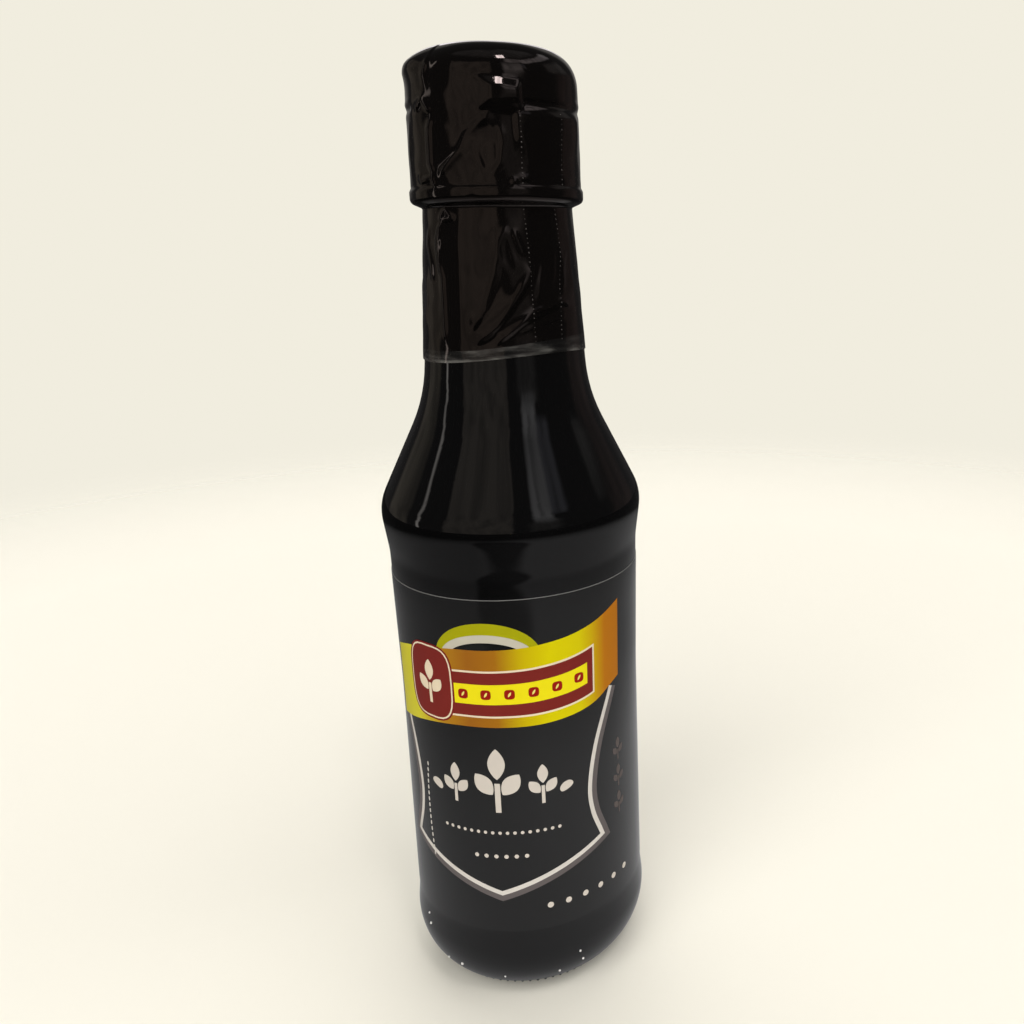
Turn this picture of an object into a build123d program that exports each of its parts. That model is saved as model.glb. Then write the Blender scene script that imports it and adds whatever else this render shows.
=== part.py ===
from build123d import *
import os

# A shut 150 ml sauce bottle, standing on its foot. Millimetres, +Z up.
# The origin is the centre of the foot; the lid's thumb tab points roughly along -Y.
# The dark glass can't be seen into, so the bottle is solid out to the glass's outer face.

# Foot and heel
HEEL_ROUND = 11.4
FOOT_PROUD = 0.45
FOOT_CREST_Z = 12.1
FOOT_CREST_ROUND = 6.0
PUNT_R = 9.5
PUNT_DEPTH = 1.2

# Label panel: a cylinder that flares a little under the shoulder
PANEL_R = 23.30
PANEL_FLARE = 0.55
FLARE_START = 45.0
FLARE_ROUND = 200.0
PANEL_BELOW_LABEL = 0.8
PANEL_ABOVE_LABEL = 4.0
PANEL_FOOT_ROUND = 8.0
PANEL_TOP_ROUND = 15.0

# Label: one full wrap
LABEL_Z = 17.3
LABEL_H = 67.7
LABEL_T = 0.12

# Shoulder bead, shoulder cone and neck
BEAD_ABOVE_LABEL = 12.8
BEAD_PROUD = 1.20
BEAD_ROUND = 9.0
SHOULDER_H = 20.1
NECK_ROOT_R = 15.35
NECK_ROOT_ROUND = 30.0
NECK_H = 34.75
NECK_TOP_R = 13.20
FINISH_STEP = 1.0
FINISH_H = 10.3

# Flip-top cap
CAP_R = 15.05
RIM_PROUD = 0.20
RIM_H = 1.8
RIM_STEP = 0.35
EDGE_ROUND = 0.5
SKIRT_DRAFT = 0.10
BASE_H = 14.85
CAP_FIT = 0.10
PARTING_GAP = 0.9
DECK_INSET = 2.4
LID_H = 9.75
LID_DRAFT = 0.15
LID_EDGE_ROUND = 5.7
STEP_ROUND = 0.3

# Thumb tab on the lid's lower edge
TAB_W = 4.8
TAB_H = 1.8
TAB_PROUD = 0.8
TAB_ROOT = 3.0
TAB_ROUND = 0.6
TAB_TURN = 6.5

# Shrink film over the neck and the cap, open on top
FILM_T = 0.15
FILM_BELOW_RIM = 26.75
FILM_TUCK = 0.9
FILM_TUCK_ROUND = 0.4
FILM_FLAP = 1.5
FILM_DIP = 0.35
FILM_EDGE_TURN = 2.6
FILM_SPARE = 2.0

# Heights and radii that follow from the sizes above
foot_r = PANEL_R + FOOT_PROUD
label_top = LABEL_Z + LABEL_H
flare_z = LABEL_Z + FLARE_START
panel_top_z = label_top + PANEL_ABOVE_LABEL
panel_top_r = PANEL_R + PANEL_FLARE
bead_z = label_top + BEAD_ABOVE_LABEL
bead_r = panel_top_r + BEAD_PROUD
neck_root_z = bead_z + SHOULDER_H
rim_z = neck_root_z + NECK_H
finish_r = NECK_TOP_R - FINISH_STEP
seat_z = rim_z + FINISH_H
base_top = rim_z + BASE_H
lid_z = base_top + PARTING_GAP
rim_r = CAP_R + RIM_PROUD
parting_r = CAP_R - SKIRT_DRAFT
lid_top_r = parting_r - LID_DRAFT
deck_r = parting_r - DECK_INSET
band_top = rim_z + RIM_H + RIM_STEP
cap_top = lid_z + LID_H


def between(low, high, z):
    """Radius at height z on the straight line from one (radius, height) to another."""
    share = (z - low[1]) / (high[1] - low[1])
    return low[0] + share * (high[0] - low[0])


def rounded(corners):
    """A line through (radius, height, rounding) corners; the two ends stay sharp."""
    points = [(r, z) for r, z, _ in corners]
    return FilletPolyline(*points, radius=[rounding for *_, rounding in corners[1:-1]])


def turned(*lines):
    """The solid of revolution whose half section these lines close round."""
    return revolve(Plane.XZ * make_face([line.edges() for line in lines]), Axis.Z)


def make_bottle():
    """Glass bottle: punt, heel, label panel, shoulder bead, cone, neck and finish."""
    wall = rounded(
        [
            (PUNT_R, 0, 0),
            (foot_r, 0, HEEL_ROUND),
            (foot_r, FOOT_CREST_Z, FOOT_CREST_ROUND),
            (PANEL_R, LABEL_Z - PANEL_BELOW_LABEL, PANEL_FOOT_ROUND),
            (PANEL_R, flare_z, FLARE_ROUND),
            (panel_top_r, panel_top_z, PANEL_TOP_ROUND),
            (bead_r, bead_z, BEAD_ROUND),
            (NECK_ROOT_R, neck_root_z, NECK_ROOT_ROUND),
            (NECK_TOP_R, rim_z, 0),
        ]
    )
    finish = Polyline((NECK_TOP_R, rim_z), (finish_r, rim_z), (finish_r, seat_z), (0, seat_z))
    axis = Line((0, seat_z), (0, PUNT_DEPTH))
    sag_r = PUNT_R / 2
    punt = ThreePointArc((0, PUNT_DEPTH), (sag_r, PUNT_DEPTH * 0.75), (PUNT_R, 0))
    return turned(wall, finish, axis, punt)


def make_label():
    """Label: a thin band wrapped on the panel, following its flare."""
    top_r = between((PANEL_R, flare_z), (panel_top_r, panel_top_z), label_top)
    inner = rounded([(PANEL_R, LABEL_Z, 0), (PANEL_R, flare_z, FLARE_ROUND), (top_r, label_top, 0)])
    face_r = PANEL_R + LABEL_T
    face_top_r = top_r + LABEL_T
    outer = rounded([(face_r, LABEL_Z, 0), (face_r, flare_z, FLARE_ROUND), (face_top_r, label_top, 0)])
    low_edge = Line((PANEL_R, LABEL_Z), (face_r, LABEL_Z))
    high_edge = Line((top_r, label_top), (face_top_r, label_top))
    return turned(inner, outer, low_edge, high_edge)


def make_cap_base():
    """Cap skirt: grips the bottle's finish, with a rim band below and a deck above."""
    bore_r = finish_r + CAP_FIT
    side = rounded(
        [
            (bore_r, rim_z, 0),
            (rim_r, rim_z, EDGE_ROUND),
            (rim_r, rim_z + RIM_H, STEP_ROUND),
            (CAP_R, band_top, STEP_ROUND),
            (parting_r, base_top, EDGE_ROUND),
            (deck_r, base_top, 0),
        ]
    )
    deck = Polyline((deck_r, base_top), (deck_r, lid_z), (0, lid_z), (0, seat_z))
    bore = Polyline((0, seat_z), (bore_r, seat_z), (bore_r, rim_z))
    return turned(side, deck, bore)


def on_tab_side(shape):
    """Turns a shape built on the -Y side round to the tab's place."""
    return Rot(0, 0, TAB_TURN) * shape


def tab_block(grow):
    """The thumb tab's rounded block, grown all round by the given amount."""
    reach = parting_r + TAB_PROUD + grow
    depth = TAB_ROOT + TAB_PROUD + grow
    block = Box(TAB_W + 2 * grow, depth, TAB_H + 2 * grow)
    block = fillet(block.edges().filter_by(Axis.Z).group_by(Axis.Y)[0], TAB_ROUND + grow)
    block = fillet(block.faces().sort_by(Axis.Y)[0].edges(), TAB_ROUND * 0.8)
    return on_tab_side(Pos(0, depth / 2 - reach, lid_z + TAB_H / 2) * block)


def lid_body():
    """The lid without its tab: a shallow drum with a large rounded top edge."""
    side = rounded(
        [
            (0, lid_z, 0),
            (parting_r, lid_z, EDGE_ROUND),
            (lid_top_r, cap_top, LID_EDGE_ROUND),
            (0, cap_top, 0),
        ]
    )
    return turned(side, Line((0, cap_top), (0, lid_z)))


def make_cap_lid():
    """Lid with the thumb tab on its lower edge."""
    return lid_body() + tab_block(0)


def film_line(offset):
    """Outline of what the film wraps, from the shoulder up, moved out by the given offset."""
    tuck_z = rim_z - FILM_TUCK
    tuck_r = between((NECK_ROOT_R, neck_root_z), (NECK_TOP_R, rim_z), tuck_z)
    dip_low = base_top - EDGE_ROUND / 2
    dip_high = lid_z + EDGE_ROUND / 2
    dip_low_r = between((CAP_R, band_top), (parting_r, base_top), dip_low)
    dip_high_r = between((parting_r, lid_z), (lid_top_r, cap_top), dip_high)
    return rounded(
        [
            (bead_r + offset, bead_z, 0),
            (NECK_ROOT_R + offset, neck_root_z, NECK_ROOT_ROUND),
            (tuck_r + offset, tuck_z, FILM_TUCK_ROUND),
            (rim_r + offset, rim_z, EDGE_ROUND + offset),
            (rim_r + offset, rim_z + RIM_H + offset, STEP_ROUND),
            (CAP_R + offset, band_top + offset, STEP_ROUND),
            (dip_low_r + offset, dip_low, 0),
            (parting_r + offset - FILM_DIP, (base_top + lid_z) / 2, 0),
            (dip_high_r + offset, dip_high, 0),
            (lid_top_r + offset, cap_top + offset, LID_EDGE_ROUND + offset),
            (lid_top_r - LID_EDGE_ROUND - FILM_FLAP, cap_top + offset, 0),
        ]
    )


def below_film():
    """The space under the film's lower edge, which runs slightly uphill towards +X."""
    wide = 2 * (bead_r + FILM_SPARE)
    block = Pos(0, 0, -wide / 2) * Box(wide, wide, wide)
    return Pos(0, 0, rim_z - FILM_BELOW_RIM) * Rot(0, -FILM_EDGE_TURN, 0) * block


def make_shrink_film():
    """Thin skin from the neck up over the cap, folded a little way onto the lid's top."""
    inner = film_line(0)
    outer = film_line(FILM_T)
    low_edge = Line(inner @ 0, outer @ 0)
    flap_edge = Line(inner @ 1, outer @ 1)
    skin = turned(inner, outer, low_edge, flap_edge)
    core = Pos(0, 0, lid_z) * Cylinder(parting_r, 4 * TAB_H)
    blister = tab_block(FILM_T) - core - lid_body()
    return skin + blister - tab_block(0) - below_film()


NODES = {
    "bottle": make_bottle,
    "label": make_label,
    "cap_base": make_cap_base,
    "cap_lid": make_cap_lid,
    "shrink_film": make_shrink_film,
}

os.makedirs("parts", exist_ok=True)
for name, make in NODES.items():
    export_step(make(), f"parts/{name}.step")
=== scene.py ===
import math

import bmesh
import bpy
import numpy as np
from mathutils import Matrix, Vector
from mathutils.geometry import tessellate_polygon


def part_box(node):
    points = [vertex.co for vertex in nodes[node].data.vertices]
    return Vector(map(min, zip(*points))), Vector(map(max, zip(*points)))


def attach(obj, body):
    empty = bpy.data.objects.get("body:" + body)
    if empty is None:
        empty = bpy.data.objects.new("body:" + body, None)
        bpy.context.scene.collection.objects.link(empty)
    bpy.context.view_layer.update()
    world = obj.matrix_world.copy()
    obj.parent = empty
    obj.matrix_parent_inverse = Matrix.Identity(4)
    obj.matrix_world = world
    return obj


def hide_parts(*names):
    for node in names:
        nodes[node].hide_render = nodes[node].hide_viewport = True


# A shut bottle of dark sauce: black glass, a full-wrap label with generic print, and a
# flip-top cap under wrinkled black shrink film. Shapes are worked out in millimetres.

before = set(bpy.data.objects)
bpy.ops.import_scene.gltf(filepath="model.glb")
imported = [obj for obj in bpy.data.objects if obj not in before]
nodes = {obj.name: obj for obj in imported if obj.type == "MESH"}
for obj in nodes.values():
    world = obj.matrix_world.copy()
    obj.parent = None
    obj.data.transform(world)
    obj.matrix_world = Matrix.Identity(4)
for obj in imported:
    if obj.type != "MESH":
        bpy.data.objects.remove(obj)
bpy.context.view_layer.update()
scene = bpy.context.scene
MM = 0.001


# ---------------------------------------------------------------- sizes read from the frame

def low_and_high(node):
    """Lowest and highest corner of a CAD node, in millimetres."""
    low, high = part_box(node)
    return np.array(low) / MM, np.array(high) / MM


def wall_rings(node, least_radius):
    """Heights and outer radii of a turned CAD node, on its plain back half."""
    points = np.array([v.co for v in nodes[node].data.vertices]) / MM
    radii = np.hypot(points[:, 0], points[:, 1])
    kept = (points[:, 1] > 0) & (radii > least_radius)
    heights, place = np.unique(np.round(points[kept, 2], 2), return_inverse=True)
    widest = np.zeros(len(heights))
    np.maximum.at(widest, place, radii[kept])
    return heights, widest


label_z = low_and_high("label")[0][2]
label_top = low_and_high("label")[1][2]
rim_z = low_and_high("cap_base")[0][2]
rim_r = low_and_high("cap_base")[1][0]
lid_z = low_and_high("cap_lid")[0][2]
lid_top = low_and_high("cap_lid")[1][2]
seat_z = low_and_high("bottle")[1][2]
film_top = low_and_high("shrink_film")[1][2]
glass_heights, glass_radii = wall_rings("bottle", 12.5)
label_heights, label_radii = wall_rings("label", 23.35)
finish_r = np.interp(seat_z, *wall_rings("bottle", 11.5))
lid_r = wall_rings("cap_lid", 12.0)[1].max()
skirt_heights, skirt_radii = wall_rings("cap_base", 14.0)
skirt_r = skirt_radii[skirt_heights > rim_z + 2.6].max()


def glass_radius(z):
    return np.interp(z, glass_heights, glass_radii)


def label_radius(z):
    return np.interp(z, label_heights, label_radii)


# ---------------------------------------------------------------- mesh helpers

def new_piece(name, points, faces, material, slot, stands_for=(), sharp_angle=35):
    """A finished piece, smooth but for its sharp edges, riding on the bottle."""
    mesh = bpy.data.meshes.new(name)
    mesh.from_pydata((np.asarray(points, float) * MM).tolist(), [], [list(map(int, f)) for f in faces])
    mesh.polygons.foreach_set("use_smooth", [True] * len(mesh.polygons))
    mesh.set_sharp_from_angle(angle=math.radians(sharp_angle))
    mesh.materials.append(material)
    mesh.update()
    piece = bpy.data.objects.new(name, mesh)
    scene.collection.objects.link(piece)
    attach(piece, "root")
    if stands_for:
        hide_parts(*stands_for)
    return piece


def grid_faces(rows, columns, first=0, flip=False):
    """Quads of a grid whose columns close round, row above row."""
    row, column = np.meshgrid(np.arange(rows - 1), np.arange(columns), indexing="ij")
    a = first + row * columns + column
    b = first + row * columns + (column + 1) % columns
    quads = np.stack([a, b, b + columns, a + columns], -1).reshape(-1, 4)
    return quads[:, ::-1] if flip else quads


def ring_points(radii, heights, columns):
    """Points of rings about the axis; radii may be one per ring or one per point."""
    turn = np.arange(columns) / columns * 2 * math.pi
    radii = np.broadcast_to(np.asarray(radii, float).reshape(len(heights), -1), (len(heights), columns))
    x = radii * np.sin(turn)
    y = -radii * np.cos(turn)
    z = np.broadcast_to(np.asarray(heights, float)[:, None], x.shape)
    return np.stack([x, y, z], -1).reshape(-1, 3)


def closed_turning(outline, columns):
    """Points and faces of a solid turned from an outline whose two ends lie on the axis."""
    outline = np.asarray(outline, float)
    rings = ring_points(outline[1:-1, 0], outline[1:-1, 1], columns)
    points = np.vstack([rings, [[0, 0, outline[0, 1]], [0, 0, outline[-1, 1]]]])
    faces = grid_faces(len(outline) - 2, columns).tolist()
    bottom = len(rings)
    last = bottom - columns
    for k in range(columns):
        after = (k + 1) % columns
        faces.append([bottom, after, k])
        faces.append([bottom + 1, last + k, last + after])
    return points, faces


def closed_ring(outline, columns):
    """Points and faces of a ring turned from a closed outline that runs up its outer side."""
    outline = np.asarray(outline, float)
    rows = len(outline)
    points = ring_points(outline[:, 0], outline[:, 1], columns)
    faces = grid_faces(rows, columns).tolist()
    last = (rows - 1) * columns
    for k in range(columns):
        after = (k + 1) % columns
        faces.append([last + k, last + after, after, k])
    return points, faces


def smooth_line(points, count):
    """A Catmull-Rom line through a few points, as evenly spaced samples in its parameter."""
    p = np.asarray(points, float)
    p = np.vstack([2 * p[0] - p[1], p, 2 * p[-1] - p[-2]])
    at = np.linspace(0, len(p) - 3, count)
    k = np.minimum(at.astype(int), len(p) - 4)
    t = (at - k)[:, None]
    a, b, c, d = p[k], p[k + 1], p[k + 2], p[k + 3]
    return 0.5 * (2 * b + (c - a) * t + (2 * a - 5 * b + 4 * c - d) * t**2 + (3 * b - a - 3 * c + d) * t**3)


def evenly(outline, step):
    """The outline resampled at about the given step along its length, ends kept."""
    outline = np.asarray(outline, float)
    along = np.concatenate([[0], np.cumsum(np.linalg.norm(np.diff(outline, axis=0), axis=1))])
    count = max(2, int(round(along[-1] / step)) + 1)
    at = np.linspace(0, along[-1], count)
    return np.stack([np.interp(at, along, outline[:, 0]), np.interp(at, along, outline[:, 1])], -1)


def rounded_line(corners, arc_step=12):
    """A line through (radius, height, rounding) corners with true arcs at the rounded ones."""
    line = [np.array(corners[0][:2], float)]
    for before, corner, after in zip(corners, corners[1:], corners[2:]):
        here = np.array(corner[:2], float)
        back = np.array(before[:2], float) - here
        ahead = np.array(after[:2], float) - here
        back /= np.linalg.norm(back)
        ahead /= np.linalg.norm(ahead)
        half = math.acos(np.clip(back @ ahead, -1, 1)) / 2
        if corner[2] <= 0 or half > 1.5:
            line.append(here)
            continue
        reach = corner[2] / math.tan(half)
        centre = here + (back + ahead) / np.linalg.norm(back + ahead) * corner[2] / math.sin(half)
        start = here + back * reach - centre
        end = here + ahead * reach - centre
        sweep = math.atan2(start[0] * end[1] - start[1] * end[0], start @ end)
        count = max(2, int(abs(math.degrees(sweep)) / arc_step) + 2)
        for turn in np.linspace(0, sweep, count):
            c, s = math.cos(turn), math.sin(turn)
            line.append(centre + np.array([c * start[0] - s * start[1], s * start[0] + c * start[1]]))
    line.append(np.array(corners[-1][:2], float))
    return np.array(line)


# ---------------------------------------------------------------- materials

def add(tree, kind, inputs=None, **settings):
    """A node with its settings; inputs gives values, or sockets to link from."""
    node = tree.nodes.new(kind)
    for key, value in settings.items():
        setattr(node, key, value)
    for key, value in (inputs or {}).items():
        if isinstance(value, bpy.types.NodeSocket):
            tree.links.new(value, node.inputs[key])
        else:
            node.inputs[key].default_value = value
    return node


def maths(tree, operation, a, b=0.0, c=0.0):
    return add(tree, "ShaderNodeMath", {0: a, 1: b, 2: c}, operation=operation).outputs[0]


def ramp(tree, factor, stops, interpolation="LINEAR"):
    """A colour ramp node's colour, from (place, colour) stops."""
    node = add(tree, "ShaderNodeValToRGB", {"Fac": factor})
    node.color_ramp.interpolation = interpolation
    elements = node.color_ramp.elements
    while len(elements) < len(stops):
        elements.new(0.5)
    for element, (place, colour) in zip(elements, stops):
        element.position = place
        element.color = (*colour, 1)
    return node.outputs[0]


def linear(red, green, blue):
    """A colour written as on a screen, 0 to 255, made linear."""
    def one(value):
        value /= 255
        return value / 12.92 if value <= 0.04045 else ((value + 0.055) / 1.055) ** 2.4
    return one(red), one(green), one(blue)


def make_uneven_group():
    """Soft mottling: a mask, a roughness that wanders and a height for a bump."""
    group = bpy.data.node_groups.new("uneven_finish", "ShaderNodeTree")
    face = group.interface
    for name, value in (("Scale", 300.0), ("Roughness", 0.1), ("Wander", 0.02), ("Specks", 0.0)):
        face.new_socket(name, in_out="INPUT", socket_type="NodeSocketFloat").default_value = value
    for name in ("Mask", "Roughness", "Height"):
        face.new_socket(name, in_out="OUTPUT", socket_type="NodeSocketFloat")
    entry = group.nodes.new("NodeGroupInput")
    leave = group.nodes.new("NodeGroupOutput")
    place = add(group, "ShaderNodeTexCoord").outputs["Object"]
    broad = add(group, "ShaderNodeTexNoise",
                {"Vector": place, "Scale": entry.outputs["Scale"], "Detail": 3.0})
    fine_scale = maths(group, "MULTIPLY", entry.outputs["Scale"], 9.0)
    fine = add(group, "ShaderNodeTexNoise", {"Vector": place, "Scale": fine_scale, "Detail": 2.0})
    speck = add(group, "ShaderNodeMapRange", {0: fine.outputs[0], 1: 0.66, 2: 0.74, 3: 0.0, 4: 1.0})
    specks = maths(group, "MULTIPLY", speck.outputs[0], entry.outputs["Specks"])
    centred = maths(group, "SUBTRACT", broad.outputs[0], 0.5)
    wander = maths(group, "MULTIPLY", centred, entry.outputs["Wander"])
    rough = maths(group, "ADD", entry.outputs["Roughness"], wander)
    rough = maths(group, "ADD", rough, maths(group, "MULTIPLY", specks, 0.3))
    height = maths(group, "ADD", broad.outputs[0], specks)
    links = ((broad.outputs[0], "Mask"), (rough, "Roughness"), (height, "Height"))
    for socket, name in links:
        group.links.new(socket, leave.inputs[name])
    return group


uneven = make_uneven_group()


def finish_material(name, colour, roughness, wander=0.03, scale=300.0, specks=0.0, tone=0.12, bump=0.00002,
                    specular=0.5, ior=1.5, tint=(1, 1, 1), paint=None):
    """A procedural finish: colour with slight mottling, wandering roughness and a faint bump."""
    material = bpy.data.materials.new(name)
    material.use_nodes = True
    tree = material.node_tree
    shader = tree.nodes["Principled BSDF"]
    values = {"Scale": scale, "Roughness": roughness, "Wander": wander, "Specks": specks}
    mottle = add(tree, "ShaderNodeGroup", node_tree=uneven)
    for key, value in values.items():
        mottle.inputs[key].default_value = value
    base = paint(tree) if paint else add(tree, "ShaderNodeRGB").outputs[0]
    if not paint:
        base.default_value = (*colour, 1)
    shade = maths(tree, "MULTIPLY_ADD", mottle.outputs["Mask"], tone * 2, 1 - tone)
    mixed = add(tree, "ShaderNodeMix", data_type="RGBA", blend_type="MULTIPLY")
    mixed.inputs[0].default_value = 1.0
    tree.links.new(base, mixed.inputs[6])
    tree.links.new(shade, mixed.inputs[7])
    tree.links.new(mixed.outputs[2], shader.inputs["Base Color"])
    tree.links.new(mottle.outputs["Roughness"], shader.inputs["Roughness"])
    relief = add(tree, "ShaderNodeBump",
                 {"Height": mottle.outputs["Height"], "Distance": bump, "Strength": 1.0})
    tree.links.new(relief.outputs[0], shader.inputs["Normal"])
    shader.inputs["IOR"].default_value = ior
    shader.inputs["Specular IOR Level"].default_value = specular
    shader.inputs["Specular Tint"].default_value = (*tint, 1)
    return material


def around(tree):
    """Angle round the axis in degrees, 0 at -Y and growing towards +X, and height in mm."""
    place = add(tree, "ShaderNodeSeparateXYZ", {0: add(tree, "ShaderNodeTexCoord").outputs["Object"]})
    back = maths(tree, "MULTIPLY", place.outputs[1], -1.0)
    angle = maths(tree, "DEGREES", maths(tree, "ARCTAN2", place.outputs[0], back))
    return angle, maths(tree, "MULTIPLY", place.outputs[2], 1000.0)


def ribbon_colour(tree):
    """The ribbon's colour runs from pale yellow through orange and yellow to orange."""
    angle, _ = around(tree)
    share = add(tree, "ShaderNodeMapRange", {0: angle, 1: -80.0, 2: 60.0, 3: 0.0, 4: 1.0}).outputs[0]
    stops = [
        (0.0, linear(208, 198, 34)), (0.17, linear(214, 206, 52)), (0.30, linear(178, 128, 28)),
        (0.40, linear(154, 96, 26)), (0.49, linear(162, 106, 22)), (0.58, linear(200, 178, 6)),
        (0.66, linear(214, 202, 2)), (0.76, linear(212, 198, 4)), (0.86, linear(185, 114, 16)),
        (1.0, linear(178, 107, 17)),
    ]
    return ramp(tree, share, stops)


glass_black = finish_material("black_glass", (0.0016, 0.0016, 0.0017), 0.03, wander=0.02, scale=90,
                              specks=0.05, bump=0.00003)
MARGIN_HEIGHT = -24.65        # of the print's end on the film, from the cap's rim
MARGIN_SWING = 1.15
MARGIN_WAVE = 0.15
label_black = finish_material("label_black", (0.0060, 0.0060, 0.0062), 0.13, wander=0.05, scale=500,
                              bump=0.000012)
# The pale grey of the label's cut edge and overlap is a painted highlight, the glint of the edge.
edge_highlight_paint = finish_material("label_edge_painted_highlight", linear(112, 112, 110), 0.4)
cap_black = finish_material("cap_plastic", (0.0035, 0.0033, 0.0033), 0.16, wander=0.05, scale=900)


def film_colour(tree):
    """Black, but milky and streaked below the line where the print ends, palest at its edge; painted shade
    dims the milk towards +X.
    """
    angle, height = around(tree)
    turn = maths(tree, "RADIANS", angle)
    swing = maths(tree, "SINE", turn)
    third = maths(tree, "SINE", maths(tree, "MULTIPLY", turn, 3.0))
    line = maths(tree, "MULTIPLY_ADD", swing, MARGIN_SWING, rim_z + MARGIN_HEIGHT)
    line = maths(tree, "MULTIPLY_ADD", third, MARGIN_WAVE, line)
    below = maths(tree, "SUBTRACT", line, height)
    edge = add(tree, "ShaderNodeMapRange", {0: below, 1: -0.06, 2: 0.06, 3: 0.0, 4: 1.0}).outputs[0]
    place = add(tree, "ShaderNodeTexCoord").outputs["Object"]
    lie = add(tree, "ShaderNodeMapping", {"Vector": place, "Scale": (170.0, 170.0, 900.0)})
    streaks = add(tree, "ShaderNodeTexNoise", {"Vector": lie.outputs[0], "Scale": 1.0, "Detail": 4.0})
    rim = add(tree, "ShaderNodeMapRange", {0: below, 1: 1.35, 2: 1.75, 3: 0.0, 4: 0.16}).outputs[0]
    # Painted shade: less milk on the side turned towards +X.
    painted_shade_side = add(tree, "ShaderNodeMapRange", {0: angle, 1: 8.0, 2: 45.0, 3: 0.0, 4: 0.10}).outputs[0]
    milk = maths(tree, "SUBTRACT", maths(tree, "ADD", streaks.outputs[0], rim), painted_shade_side)
    stops = [(0.38, (0.005, 0.005, 0.005)), (0.52, (0.013, 0.013, 0.0125)), (0.62, (0.034, 0.033, 0.031)),
             (0.78, (0.11, 0.108, 0.10))]
    milky = ramp(tree, milk, stops)
    mixed = add(tree, "ShaderNodeMix", data_type="RGBA")
    tree.links.new(edge, mixed.inputs[0])
    mixed.inputs[6].default_value = (0.0017, 0.0015, 0.0014, 1)
    tree.links.new(milky, mixed.inputs[7])
    return mixed.outputs[2]


# The warm specular tint paints a brown cast into the film's reflections.
film_black = finish_material("shrink_film", (0, 0, 0), 0.05, wander=0.04, scale=250, specks=0.1,
                             tint=(1.0, 0.84, 0.78), paint=film_colour)
pierced = finish_material("pierced_film_edge", linear(66, 62, 60), 0.35)
# Near-white dots that stand in for glints on the heel: painted highlights.
glint_paint = finish_material("heel_painted_glint", linear(236, 234, 230), 0.3)


def ink(name, *colour):
    """A printing ink: satin, with hardly any gloss of its own."""
    return finish_material(name, linear(*colour), 0.3, specular=0.06, tone=0.05)


ribbon_ink = finish_material("ribbon_ink", (1, 1, 1), 0.3, paint=ribbon_colour, specular=0.06, tone=0.03)
panel_red = ink("panel_red_ink", 122, 40, 35)
cream_ink = ink("cream_ink", 232, 216, 188)
motif_cream = ink("motif_cream_ink", 208, 200, 190)
bean_red = ink("bean_red_ink", 150, 26, 16)
motif_yellow = ink("motif_yellow_ink", 236, 222, 24)
motif_pale = ink("motif_pale_ink", 236, 226, 120)
arc_green = ink("arc_green_ink", 164, 162, 12)
shield_white = ink("shield_white_ink", 212, 207, 200)
arc_white = ink("arc_white_ink", 196, 190, 174)
shield_grey = ink("shield_grey_ink", 98, 92, 92)
faint_grey = ink("faint_grey_ink", 92, 84, 82)
badge_edge = ink("badge_edge_ink", 122, 30, 28)


# ---------------------------------------------------------------- glass bottle

PUNT_R = 11.0
PUNT_DEPTH = 1.2
BOTTLE_COLUMNS = 288


def make_bottle():
    """Black glass with a faint waviness, solid out to its outer face."""
    below_cap = glass_heights < rim_z + 0.01
    wall = np.stack([glass_radii[below_cap], glass_heights[below_cap]], -1)
    body = evenly(wall, 0.7)
    punt = [(r, PUNT_DEPTH * (1 - (r / PUNT_R) ** 2)) for r in np.linspace(0, PUNT_R, 10)]
    finish = [(finish_r, rim_z), (finish_r, seat_z), (0, seat_z)]
    outline = np.vstack([punt, body, finish])
    points, faces = closed_turning(outline, BOTTLE_COLUMNS)
    turn = np.arctan2(points[:, 0], -points[:, 1])
    z = points[:, 2]
    wave = 0.010 * np.sin(3 * turn + z / 9) + 0.008 * np.sin(5 * turn - z / 6 + 1.7) + 0.006 * np.sin(z / 3.1)
    on_wall = (np.hypot(points[:, 0], points[:, 1]) > 12.5) & (z > 12) & (z < rim_z - 3)
    stretch = 1 + np.where(on_wall, wave, 0) / np.maximum(np.hypot(points[:, 0], points[:, 1]), 1)
    points[:, 0] *= stretch
    points[:, 1] *= stretch
    return new_piece("bottle_glass", points, faces, glass_black, "glass", ["bottle"], 50)


make_bottle()


# ---------------------------------------------------------------- label and its print

LABEL_CENTRE = -14.2          # degrees round the axis
MM_PER_DEGREE = 0.410


LABEL_COLUMNS = 288
LABEL_DEPTH = 0.11
EDGE_LINE = 0.13              # the pale line along the label's top, a painted highlight of its cut edge


def make_label():
    """The wrap: a thin closed band that follows the panel's flare, and its cut edge, painted pale as a
    highlight.
    """
    heights = np.linspace(label_z, label_top - EDGE_LINE, 60)
    outer = label_radius(heights)
    outline = np.vstack([np.stack([outer, heights], -1), np.stack([outer - LABEL_DEPTH, heights], -1)[::-1]])
    new_piece("label_wrap", *closed_ring(outline, LABEL_COLUMNS), label_black, "label", ["label"])
    top_r = label_radius(label_top)
    inner_r = top_r - LABEL_DEPTH
    low = label_top - EDGE_LINE
    edge = [(top_r, low), (top_r, label_top), (inner_r, label_top), (inner_r, low)]
    new_piece("label_top_edge", *closed_ring(edge, LABEL_COLUMNS), edge_highlight_paint, "label")


make_label()


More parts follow.
